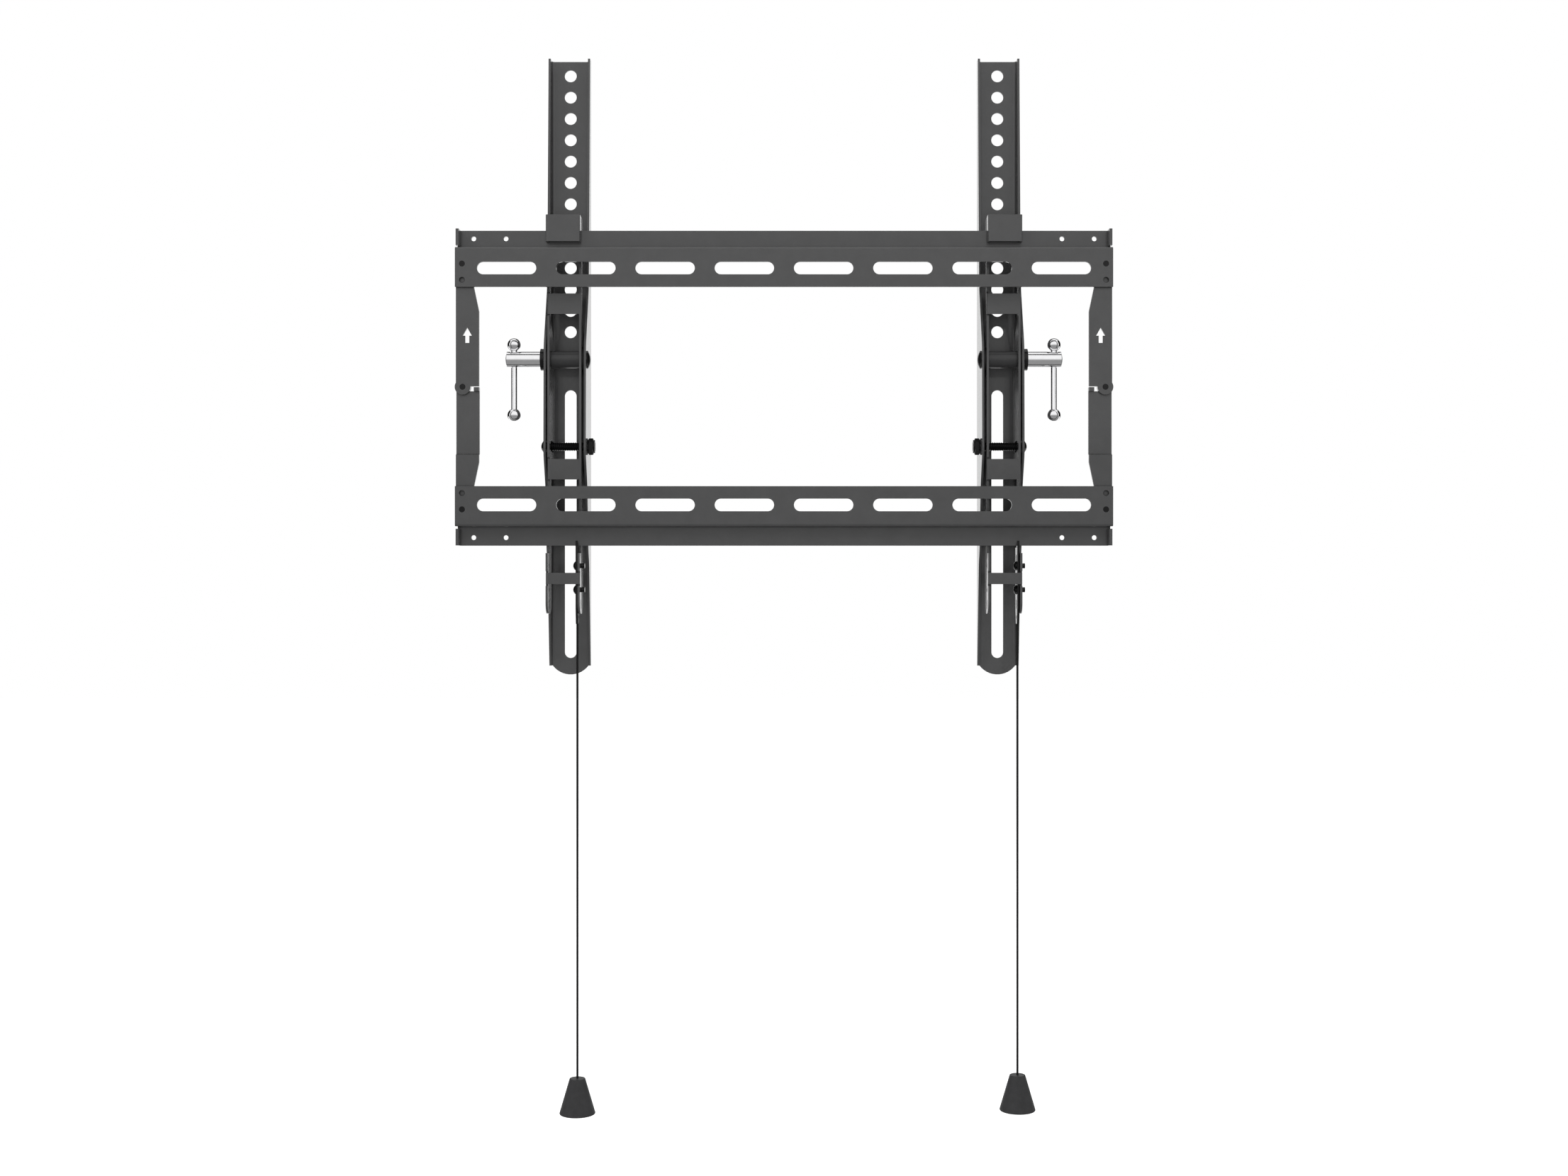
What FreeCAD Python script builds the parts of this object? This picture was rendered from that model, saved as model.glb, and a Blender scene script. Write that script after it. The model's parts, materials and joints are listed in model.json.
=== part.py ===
"""Folding, tilting wall mount for a television.

Two slotted rails hang on folding struts, and two channel arms hang on the rails by hook brackets.
Frame: +X along the rails, +Y from the wall into the room, +Z up, in millimetres.
The origin is on the wall plane, midway between the rails and between their ends.
"""
import FreeCAD, Part
import math
import os
import re

import Sketcher

# Driving dimensions. Heights of the rails and struts are measured from the centre line between the rails.
DIMENSIONS = {
    # Rails
    "rail_width": 444.6,
    "rail_sheet": 2.0,
    "rail_inner": 67.3,
    "rail_face": 27.1,
    "rail_flange": 12.9,
    "rail_depth": 13.5,
    "rail_bend": 1.6,
    "rail_inner_bend": 0.4,
    "slot_count": 8,
    "slot_margin": 14.9,
    "slot_length": 40.1,
    "slot_height": 8.5,
    "slot_rise": 12.7,
    "tab_near": 3.0,
    "tab_relief": 1.6,
    "flange_hole": 3.3,
    "flange_hole_drop": 5.5,
    "flange_hole_end": 10.9,
    "flange_hole_gap": 22.0,
    # Folding struts
    "pivot_inset": 4.8,
    "pivot_rise": 15.7,
    "detent_rise": 4.7,
    "detent_hole": 4.0,
    "strut_sheet": 2.0,
    "strut_gap": 0.3,
    "strut_layer_gap": 0.1,
    "strut_outer": 4.5,
    "strut_inner": 11.2,
    "strut_lobe": 5.3,
    "strut_stop_gap": 0.3,
    "taper_drop": 16.3,
    "joggle_drop": 21.6,
    "joggle_run": 0.4,
    "stop_tab_width": 3.6,
    "stop_tab_height": 2.6,
    "arrow_inset": 3.2,
    "arrow_base": 29.7,
    "arrow_height": 10.4,
    "arrow_head": 5.5,
    "arrow_head_width": 6.2,
    "arrow_stem_width": 2.8,
    "rivet_diameter": 4.0,
    "rivet_fit": 0.05,
    "rivet_head": 7.0,
    "rivet_head_height": 1.4,
    "rivet_chamfer": 0.6,
    # Arms, across their own middle line
    "arm_x": 150.0,
    "arm_width": 29.0,
    "arm_sheet": 1.5,
    "arm_face": 54.5,
    "arm_bend": 2.0,
    "arm_curve": 18.0,
    "arm_top": 233.8,
    "arm_top_edge": 44.5,
    "arm_upper_height": 128.0,
    "arm_upper_edge": 39.5,
    "arm_waist_height": 71.0,
    "arm_waist_edge": 35.4,
    "arm_cheek_top": 30.0,
    "arm_cheek_top_edge": 17.3,
    "arm_cheek_base": -44.0,
    "arm_cheek_base_edge": 15.7,
    "arm_lower_height": -66.0,
    "arm_lower_edge": 26.5,
    "arm_step_top": -110.0,
    "arm_step_top_edge": 33.0,
    "arm_step_height": 9.0,
    "arm_step_base_edge": 38.5,
    "arm_end_drop": 9.3,
    "arm_end_edge": 49.0,
    "arm_end_radius": 15.7,
    "arm_hole": 8.4,
    "arm_hole_count": 13,
    "arm_hole_pitch": 15.0,
    "arm_hole_margin": 10.0,
    "arm_slot_width": 8.2,
    "arm_slot_top": -1.2,
    "arm_slot_base": -181.2,
    # Hook brackets, across the same middle lines
    "bracket_width": 23.2,
    "bracket_sheet": 1.5,
    "bracket_bend": 1.4,
    "bracket_gap": 0.5,
    "bend_relief": 1.2,
    "bend_relief_depth": 2.2,
    "hook_gap": 0.4,
    "hook_reach": 6.6,
    "hook_lap": 8.3,
    "hook_rise": 9.8,
    "hook_back": 22.6,
    "hook_clearance": 0.3,
    "ear_face": 40.0,
    "ear_top": 34.0,
    "ear_slope_top": 48.0,
    "ear_base": -50.0,
    "ear_slope_base": -62.0,
    "bridge_upper_top": 65.0,
    "bridge_lower_top": -48.0,
    "bridge_height": 14.0,
    "leg_face": 25.8,
    "leg_step_drop": 5.1,
    "leg_length": 41.3,
    "leg_corner": 8.0,
    "ear_corner": 4.0,
    "leg_slot_rise": 4.6,
    "leg_slot_run": 3.8,
    "leg_slot_width": 2.6,
    "foot_drop": 13.4,
    "foot_height": 7.7,
    # Tilt pivot, clamp nut and tommy bar
    "tilt_y": 26.0,
    "tilt_z": 21.1,
    "pivot_bolt_diameter": 8.0,
    "pivot_bolt_fit": 0.05,
    "pivot_head_diameter": 12.4,
    "pivot_head_height": 2.4,
    "pivot_head_rim": 0.6,
    "sleeve_diameter": 12.0,
    "friction_diameter": 17.0,
    "friction_slack": 0.05,
    "washer_diameter": 15.0,
    "washer_height": 2.9,
    "clamp_diameter": 11.0,
    "clamp_length": 24.3,
    "clamp_crown": 1.1,
    "clamp_bore": 12.5,
    "clamp_bore_spare": 0.5,
    "tommy_diameter": 4.1,
    "tommy_fit": 0.05,
    "tommy_from_end": 5.8,
    "tommy_ball": 9.2,
    "tommy_span": 48.4,
    "tommy_rise": 10.2,
    # Tilt stop
    "stop_y": 33.0,
    "stop_z": -38.2,
    "stop_diameter": 6.0,
    "stop_fit": 0.05,
    "stop_slot_width": 7.4,
    "stop_slot_near": 24.6,
    "stop_slot_z": -38.5,
    "stop_head_diameter": 10.6,
    "stop_head_height": 3.6,
    "stop_nut_flats": 10.0,
    "stop_nut_height": 3.8,
    "stop_collar_diameter": 9.2,
    "stop_collar_height": 0.9,
    "stop_bolt_over": 0.2,
    # Latch, cord and pull
    "latch_sheet": 1.5,
    "latch_gap": 0.2,
    "latch_setback": 3.0,
    "latch_depth": 11.5,
    "latch_lap": 3.3,
    "latch_nose_slope": 2.3,
    "latch_clearance": 1.2,
    "latch_taper_rise": 3.7,
    "latch_tail": 6.8,
    "latch_tail_inset": 1.9,
    "latch_tail_width": 6.0,
    "latch_travel": 6.0,
    "pin_depth": 8.0,
    "pin_drop": 8.6,
    "pin_pitch": 16.3,
    "pin_diameter": 3.5,
    "pin_fit": 0.1,
    "pin_over": 2.6,
    "pin_head": 6.6,
    "pin_head_height": 1.9,
    "cord_diameter": 1.5,
    "cord_fit": 0.05,
    "cord_hole": 2.6,
    "cord_hole_height": 4.6,
    "cord_in_pull": 10.0,
    "left_cord_drop": 309.8,
    "right_cord_drop": 307.4,
    "pull_top_diameter": 10.8,
    "pull_base_diameter": 24.4,
    "pull_height": 24.2,
    "pull_round": 0.7,
}

# Places worked out from the driving dimensions.
RAIL_LEDGE = "(rail_inner + rail_face)"
RAIL_TOP = "(rail_inner + rail_face + rail_flange)"
SLOT_ROW = "(rail_inner + slot_rise)"
SLOT_PITCH = "((rail_width - 2 * slot_margin - slot_length) / (slot_count - 1))"
PIVOT_X = "(rail_width / 2 - pivot_inset)"
PIVOT_Z = "(rail_inner + pivot_rise)"
DETENT_Z = "(rail_inner + detent_rise)"
STRUT_TAPER = "(rail_inner - taper_drop)"
STRUT_JOGGLE = "(rail_inner - joggle_drop)"
STRUT_NEAR = "(rail_sheet + strut_gap)"
STRUT_FAR = f"({STRUT_NEAR} + strut_sheet)"
CROSS_NEAR = f"({STRUT_FAR} + strut_layer_gap)"
CROSS_FAR = f"({CROSS_NEAR} + strut_sheet)"
ARM_HALF = "(arm_width / 2)"
ARM_STEP_BASE = "(arm_step_top - arm_step_height)"
ARM_END = "(arm_slot_base - arm_end_drop)"
ARM_FIRST_HOLE = "(arm_top - arm_hole_margin)"
PLATE_OUTER = "(bracket_width / 2)"
PLATE_INNER = "(bracket_width / 2 - bracket_sheet)"
BRACKET_NEAR = "(rail_depth + bracket_gap)"
THROAT = "(rail_depth - rail_sheet - hook_gap)"
HOOK_NEAR = f"({THROAT} - hook_reach)"
HOOK_BASE = f"({RAIL_TOP} - hook_lap)"
HOOK_TOP = f"({RAIL_TOP} + hook_rise)"
LEG_STEP = f"(-{RAIL_TOP} - leg_step_drop)"
LEG_BASE = f"({LEG_STEP} - leg_length)"
FOOT_TOP = f"({LEG_STEP} - foot_drop)"
FOOT_BASE = f"({FOOT_TOP} - foot_height)"
CLAMP_START = f"({ARM_HALF} + washer_height)"
PIN_Y = f"({HOOK_NEAR} + pin_depth)"
PIN_UPPER = f"({LEG_STEP} - pin_drop)"
PIN_LOWER = f"({PIN_UPPER} - pin_pitch)"
LATCH_FAR = f"({PLATE_INNER} - latch_gap)"
LATCH_NEAR = f"({LATCH_FAR} - latch_sheet)"
LATCH_EDGE = f"({HOOK_NEAR} + latch_setback)"
LATCH_TAPER = f"({LEG_BASE} + latch_taper_rise)"
LATCH_BASE = f"({LEG_BASE} - latch_tail)"
CORD_X = f"({LATCH_NEAR} + latch_sheet / 2)"
CORD_Y = f"({LATCH_EDGE} + latch_tail_inset + latch_tail_width / 2)"

doc = FreeCAD.newDocument("tv_wall_mount")
sheet = doc.addObject("Spreadsheet::Sheet", "dim")
for row, (alias, size) in enumerate(DIMENSIONS.items(), start=1):
    sheet.set(f"A{row}", alias)
    sheet.set(f"B{row}", str(size))
    sheet.setAlias(f"B{row}", alias)
doc.recompute()

# Each origin plane of a body, and the sense of its normal along the frame's own axis.
PLANES = {"front": ("XZ_Plane", -1), "side": ("YZ_Plane", 1), "plan": ("XY_Plane", 1)}


def formula(text):
    """Turn plain dimension names into references to the sheet."""
    return re.sub(r"[A-Za-z_]\w*", lambda m: "dim." + m[0] if m[0] in DIMENSIONS else m[0], text)


def number(text):
    """Present value of a formula."""
    return float(sheet.evalExpression(formula(text)))


def new_body(node, **place):
    """Start a sub-part, with its placement bound to formulas for x, y and z."""
    body = doc.addObject("PartDesign::Body", node)
    body.Label = node
    for axis, text in place.items():
        body.setExpression(f"Placement.Base.{axis}", formula(text))
    return body


def place_point(sketch, item, end, point):
    """Hold one point of a sketch at a pair of formulas."""
    for kind, text in zip(("DistanceX", "DistanceY"), point):
        index = sketch.addConstraint(Sketcher.Constraint(kind, -1, 1, item, end, number(text)))
        sketch.setExpression(f"Constraints[{index}]", formula(text))


def set_radius(sketch, item, text):
    """Hold the radius of an arc or circle at a formula."""
    index = sketch.addConstraint(Sketcher.Constraint("Radius", item, number(text)))
    sketch.setExpression(f"Constraints[{index}]", formula(text))


def arc_between(start, end, radius, left_turn):
    """Arc under half a turn from start to end, and which of its ends is the start."""
    chord = end - start
    rise = math.sqrt(max(radius ** 2 - (chord.Length / 2) ** 2, 0))
    across = FreeCAD.Vector(-chord.y, chord.x, 0).normalize()
    centre = (start + end) / 2 + across * (rise if left_turn else -rise)
    first, last = (start, end) if left_turn else (end, start)
    angles = [math.atan2(p.y - centre.y, p.x - centre.x) for p in (first, last)]
    circle = Part.Circle(centre, FreeCAD.Vector(0, 0, 1), radius)
    return Part.ArcOfCircle(circle, *angles), (1, 2) if left_turn else (2, 1)


def outline(sketch, points):
    """Closed outline through points (x, y); a third and fourth value give an arc's radius and left turn."""
    corners = [FreeCAD.Vector(number(p[0]), number(p[1]), 0) for p in points]
    ends = []
    for index, point in enumerate(points):
        start = corners[index - 1]
        if len(point) == 2:
            item = sketch.addGeometry(Part.LineSegment(start, corners[index]))
            ends.append((item, 1, 2))
        else:
            arc, order = arc_between(start, corners[index], number(point[2]), point[3])
            item = sketch.addGeometry(arc)
            set_radius(sketch, item, point[2])
            ends.append((item, *order))
    for (item, _, last), (following, first, _), point in zip(ends, ends[1:] + ends[:1], points):
        sketch.addConstraint(Sketcher.Constraint("Coincident", item, last, following, first))
        place_point(sketch, item, last, point[:2])


def circle(sketch, centre, diameter):
    """Full circle at a pair of formulas."""
    middle = FreeCAD.Vector(number(centre[0]), number(centre[1]), 0)
    radius = f"({diameter}) / 2"
    item = sketch.addGeometry(Part.Circle(middle, FreeCAD.Vector(0, 0, 1), number(radius)))
    place_point(sketch, item, 3, centre)
    set_radius(sketch, item, radius)


def circles(sketch, centres, diameter):
    """Several equal circles."""
    for centre in centres:
        circle(sketch, centre, diameter)


def slot(sketch, first_centre, last_centre, width):
    """Straight slot with round ends about two centres."""
    first, last = [FreeCAD.Vector(number(c[0]), number(c[1]), 0) for c in (first_centre, last_centre)]
    radius = number(f"({width}) / 2")
    along = last - first
    heading = math.atan2(along.y, along.x)
    side = FreeCAD.Vector(-along.y, along.x, 0).normalize() * radius
    normal = FreeCAD.Vector(0, 0, 1)
    lower = sketch.addGeometry(Part.LineSegment(first - side, last - side))
    far = sketch.addGeometry(Part.ArcOfCircle(Part.Circle(last, normal, radius),
                                              heading - math.pi / 2, heading + math.pi / 2))
    upper = sketch.addGeometry(Part.LineSegment(last + side, first + side))
    near = sketch.addGeometry(Part.ArcOfCircle(Part.Circle(first, normal, radius),
                                               heading + math.pi / 2, heading + 3 * math.pi / 2))
    for item, following in ((lower, far), (far, upper), (upper, near), (near, lower)):
        sketch.addConstraint(Sketcher.Constraint("Tangent", item, 2, following, 1))
    place_point(sketch, near, 3, first_centre)
    place_point(sketch, far, 3, last_centre)
    for item in (near, far):
        set_radius(sketch, item, f"({width}) / 2")


def rectangle(sketch, left, right, base, top):
    """Upright rectangle between four formulas."""
    outline(sketch, [(left, base), (right, base), (right, top), (left, top)])


def new_sketch(body, plane, offset="0"):
    """Sketch on one of the body's origin planes, moved along the frame's axis by a formula."""
    role, sense = PLANES[plane]
    sketch = body.newObject("Sketcher::SketchObject", body.Label + "_sketch")
    support = next(item for item in body.Origin.OriginFeatures if item.Role == role)
    sketch.AttachmentSupport = (support, [""])
    sketch.MapMode = "FlatFace"
    sketch.setExpression("AttachmentOffset.Base.z", formula(f"{sense} * ({offset})"))
    return sketch


def pad(body, plane, start, end, draw, *shape):
    """Add a sketched shape from start to end along the frame's axis."""
    sketch = new_sketch(body, plane, start)
    draw(sketch, *shape)
    feature = body.newObject("PartDesign::Pad", body.Label + "_pad")
    feature.Profile = sketch
    feature.setExpression("Length", formula(f"({end}) - ({start})"))
    feature.Reversed = PLANES[plane][1] < 0
    return feature


def cut(body, plane, start, end, draw, *shape):
    """Remove a sketched shape from start to end along the frame's axis, and see that it took metal away."""
    doc.recompute()
    before = body.Shape.Volume
    sketch = new_sketch(body, plane, start)
    draw(sketch, *shape)
    feature = body.newObject("PartDesign::Pocket", body.Label + "_cut")
    feature.Profile = sketch
    feature.setExpression("Length", formula(f"({end}) - ({start})"))
    feature.Reversed = PLANES[plane][1] > 0
    doc.recompute()
    if not body.Shape.Volume < before:
        raise ValueError(f"{feature.Label} removes nothing from {body.Label}")
    return feature


def repeat(body, feature, axis, count, pitch, reverse=False):
    """Repeat a feature in a row along one axis of the body."""
    pattern = body.newObject("PartDesign::LinearPattern", body.Label + "_row")
    pattern.Originals = [feature]
    pattern.Direction = (next(item for item in body.Origin.OriginFeatures if item.Role == axis), [""])
    pattern.Reversed = reverse
    pattern.setExpression("Occurrences", formula(count))
    pattern.setExpression("Length", formula(f"({count} - 1) * {pitch}"))
    body.Tip = pattern


def round_edges(body, radius, wanted):
    """Fillet the edges of a body that a test picks."""
    doc.recompute()
    base = body.Tip
    names = [f"Edge{i}" for i, edge in enumerate(base.Shape.Edges, start=1) if wanted(edge)]
    fillet = body.newObject("PartDesign::Fillet", body.Label + "_round")
    fillet.Base = (base, names)
    fillet.setExpression("Radius", formula(radius))
    return fillet


def runs_along(edge, axis):
    """Whether a straight edge runs along a unit axis."""
    if not isinstance(edge.Curve, Part.Line):
        return False
    return abs(edge.tangentAt(edge.FirstParameter).dot(axis)) > 0.999


def turned(node, axis, profile, **place):
    """Body of revolution about its own x, y or z axis, from points (along the axis, radius)."""
    body = new_body(node, **place)
    plane, reference = {"x": ("plan", "H_Axis"), "y": ("plan", "V_Axis"), "z": ("front", "V_Axis")}[axis]
    sketch = new_sketch(body, plane)
    if axis == "x":
        outline(sketch, profile)
    else:
        flipped = [(p[1], p[0], *p[2:3], *[not turn for turn in p[3:4]]) for p in profile]
        outline(sketch, flipped)
    feature = body.newObject("PartDesign::Revolution", node + "_turn")
    feature.Profile = sketch
    feature.ReferenceAxis = (sketch, [reference])
    feature.Angle = 360
    return body


def sphere_radius(half_chord, rise):
    """Formula for the radius of a dome from its half width and its height."""
    return f"(({half_chord})^2 + ({rise})^2) / (2 * ({rise}))"


AXIS_X = FreeCAD.Vector(1, 0, 0)
AXIS_Z = FreeCAD.Vector(0, 0, 1)
SIDES = {"left": "-1", "right": "1"}


def edge_at(axis, spots):
    """Test for straight edges along an axis whose middle lies at one of the spots, None where it is free."""
    def picked(edge):
        middle = edge.CenterOfMass
        for spot in spots:
            misses = [abs(have - want) for have, want in zip(middle, spot) if want is not None]
            if runs_along(edge, axis) and max(misses) < 0.01:
                return True
        return False
    return picked


def make_rail(node, up):
    """Folded rail: wall face with slots, ledge away from the wall, hanging flange with end tabs."""
    body = new_body(node)
    ledge = f"{up} * {RAIL_LEDGE}"
    inner_ledge = f"{up} * ({RAIL_LEDGE} - rail_sheet)"
    profile = [
        ("0", f"{up} * rail_inner"),
        ("rail_sheet", f"{up} * rail_inner"),
        ("rail_sheet", inner_ledge),
        ("rail_depth", inner_ledge),
        ("rail_depth", f"{up} * {RAIL_TOP}"),
        ("rail_depth - rail_sheet", f"{up} * {RAIL_TOP}"),
        ("rail_depth - rail_sheet", ledge),
        ("0", ledge),
    ]
    pad(body, "side", "-rail_width / 2", "rail_width / 2", outline, profile)
    outer_bends = [(None, 0, number(ledge)), (None, number("rail_depth"), number(inner_ledge))]
    inner_bends = [(None, number("rail_sheet"), number(inner_ledge)),
                   (None, number("rail_depth - rail_sheet"), number(ledge))]
    round_edges(body, "rail_bend", edge_at(AXIS_X, outer_bends))
    round_edges(body, "rail_inner_bend", edge_at(AXIS_X, inner_bends))
    half = "(slot_length - slot_height) / 2"
    first = f"-(slot_count - 1) / 2 * {SLOT_PITCH}"
    row = f"{up} * {SLOT_ROW}"
    first_slot = cut(body, "front", "0", "rail_sheet", slot,
                     (f"{first} - {half}", row), (f"{first} + {half}", row), "slot_height")
    repeat(body, first_slot, "X_Axis", "slot_count", SLOT_PITCH)
    for height, diameter in ((PIVOT_Z, "rivet_diameter"), (DETENT_Z, "detent_hole")):
        places = [(f"{s} * {PIVOT_X}", f"{up} * {height}") for s in SIDES.values()]
        cut(body, "front", "0", "rail_sheet", circles, places, diameter)
    flange_row = f"{up} * ({RAIL_TOP} - flange_hole_drop)"
    flange_places = [(f"{s} * (rail_width / 2 - {inset})", flange_row) for s in SIDES.values()
                     for inset in ("flange_hole_end", "flange_hole_end - flange_hole_gap")]
    cut(body, "front", "rail_depth - rail_sheet", "rail_depth", circles, flange_places, "flange_hole")
    tab = ("tab_near", "rail_depth", f"{up} * ({RAIL_LEDGE} + tab_relief)", f"{up} * {RAIL_TOP}")
    pad(body, "side", "-rail_width / 2", "-rail_width / 2 + rail_sheet", rectangle, *tab)
    pad(body, "side", "rail_width / 2 - rail_sheet", "rail_width / 2", rectangle, *tab)
    return body


def strut_edges(s):
    """Outer edge, inner edge and neck of a strut, across the mount."""
    return [f"{s} * ({PIVOT_X} {offset})" for offset in ("+ strut_outer", "- strut_inner", "- strut_outer")]


def strut_end(s, up, start):
    """Strut blade from start to its rail pivot, narrowed behind the rail."""
    outer, inner, neck = strut_edges(s)
    return [(outer, f"{up} * ({start})"), (outer, f"{up} * {PIVOT_Z}"), (neck, f"{up} * {PIVOT_Z}"),
            (inner, f"{up} * {STRUT_TAPER}"), (inner, f"{up} * ({start})")]


def make_upper_strut(side, s):
    """Flat strut from the top rail to the middle pivot, with an arrow cut-out."""
    body = new_body(f"{side}_upper_strut")
    layer = (STRUT_NEAR, STRUT_FAR)
    rail_pivot = (f"{s} * {PIVOT_X}", PIVOT_Z)
    middle_pivot = (f"{s} * {PIVOT_X}", "0")
    pad(body, "front", *layer, outline, strut_end(s, "1", "strut_stop_gap"))
    pad(body, "front", *layer, circle, rail_pivot, "2 * strut_outer")
    pad(body, "front", *layer, circle, middle_pivot, "2 * strut_lobe")
    cut(body, "front", *layer, circle, rail_pivot, "rivet_diameter + 2 * rivet_fit")
    cut(body, "front", *layer, circle, middle_pivot, "rivet_diameter")
    middle = f"{s} * ({PIVOT_X} - arrow_inset)"
    tip = "arrow_base + arrow_height"
    shoulder = f"{tip} - arrow_head"
    arrow = [
        (f"{middle} - arrow_stem_width / 2", "arrow_base"),
        (f"{middle} + arrow_stem_width / 2", "arrow_base"),
        (f"{middle} + arrow_stem_width / 2", shoulder),
        (f"{middle} + arrow_head_width / 2", shoulder),
        (middle, tip),
        (f"{middle} - arrow_head_width / 2", shoulder),
        (f"{middle} - arrow_stem_width / 2", shoulder),
    ]
    cut(body, "front", *layer, outline, arrow)
    return body


def make_lower_strut(side, s):
    """Strut from the middle pivot to the bottom rail, joggled into the rail's layer, with a stop tab."""
    body = new_body(f"{side}_lower_strut")
    cross = (CROSS_NEAR, CROSS_FAR)
    layer = (STRUT_NEAR, STRUT_FAR)
    rail_pivot = (f"{s} * {PIVOT_X}", f"-{PIVOT_Z}")
    middle_pivot = (f"{s} * {PIVOT_X}", "0")
    outer, inner, neck = strut_edges(s)
    shoulder = "-sqrt(strut_lobe^2 - strut_outer^2)"
    joggle_top = f"-({STRUT_JOGGLE} - joggle_run)"
    joggle_base = f"-({STRUT_JOGGLE} + joggle_run)"
    pad(body, "front", *cross, rectangle, outer, inner, joggle_top, shoulder)
    joggle = [(CROSS_NEAR, joggle_top), (CROSS_FAR, joggle_top),
              (STRUT_FAR, joggle_base), (STRUT_NEAR, joggle_base)]
    pad(body, "side", *((inner, outer) if s == "1" else (outer, inner)), outline, joggle)
    pad(body, "front", *layer, outline, strut_end(s, "-1", f"{STRUT_JOGGLE} + joggle_run"))
    pad(body, "front", *layer, circle, rail_pivot, "2 * strut_outer")
    pad(body, "front", *cross, circle, middle_pivot, "2 * strut_lobe")
    pad(body, "front", STRUT_NEAR, CROSS_FAR, rectangle,
        inner, f"{inner} + {s} * stop_tab_width", shoulder, f"stop_tab_height + {shoulder}")
    cut(body, "front", *layer, circle, rail_pivot, "rivet_diameter + 2 * rivet_fit")
    cut(body, "front", *cross, circle, middle_pivot, "rivet_diameter + 2 * rivet_fit")
    return body


def make_rivet(node, x, z, near, far):
    """Pivot rivet along +Y: plain shank and a low chamfered head on the room side."""
    head = f"{far} + rivet_fit"
    top = f"{head} + rivet_head_height"
    profile = [
        (near, "0"),
        (top, "0"),
        (top, "rivet_head / 2 - rivet_chamfer"),
        (f"{top} - rivet_chamfer", "rivet_head / 2"),
        (head, "rivet_head / 2"),
        (head, "rivet_diameter / 2"),
        (near, "rivet_diameter / 2"),
    ]
    return turned(node, "y", profile, x=x, z=z)


def make_arm(side, s):
    """Channel arm: web towards the television, flanges shaped towards the wall, holes and a long slot."""
    body = new_body(f"{side}_tv_arm", x=f"{s} * arm_x")
    web = ("arm_face - arm_sheet", "arm_face")
    curved = [
        ("arm_waist_edge", "arm_waist_height"),
        ("arm_cheek_top_edge", "arm_cheek_top"),
        ("arm_cheek_base_edge", "arm_cheek_base"),
        ("arm_lower_edge", "arm_lower_height"),
        ("arm_step_top_edge", "arm_step_top"),
        ("arm_step_base_edge", ARM_STEP_BASE),
    ]
    profile = [("arm_face", ARM_END), ("arm_face", "arm_top"), ("arm_top_edge", "arm_top"),
               ("arm_upper_edge", "arm_upper_height"), *curved, ("arm_end_edge", ARM_END)]
    pad(body, "side", f"-{ARM_HALF}", ARM_HALF, outline, profile)
    round_edges(body, "arm_curve", edge_at(AXIS_X, [(None, number(y), number(z)) for y, z in curved]))
    round_edges(body, "arm_bend + arm_sheet", edge_at(AXIS_Z, [(None, number("arm_face"), None)]))
    wall = f"{ARM_HALF} - arm_sheet"
    cut(body, "plan", ARM_END, "arm_top", rectangle, f"-({wall})", wall, "0", web[0])
    inner_bends = [(number(f"{way} * ({wall})"), number(web[0]), None) for way in SIDES.values()]
    round_edges(body, "arm_bend", edge_at(AXIS_Z, inner_bends))
    chord = "sqrt(arm_end_radius^2 - arm_end_drop^2)"
    pad(body, "front", *web, outline, [(f"-{chord}", ARM_END), (chord, ARM_END, "arm_end_radius", True)])
    first_hole = cut(body, "front", *web, circle, ("0", ARM_FIRST_HOLE), "arm_hole")
    repeat(body, first_hole, "Z_Axis", "arm_hole_count", "arm_hole_pitch", reverse=True)
    cut(body, "front", *web, slot, ("0", "arm_slot_base"), ("0", "arm_slot_top"), "arm_slot_width")
    cut(body, "side", f"-{ARM_HALF}", ARM_HALF, circle, ("tilt_y", "tilt_z"),
        "pivot_bolt_diameter + 2 * pivot_bolt_fit")
    cut(body, "side", f"-{ARM_HALF}", ARM_HALF, circle, ("stop_y", "stop_z"), "stop_diameter + 2 * stop_fit")
    return body


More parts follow.
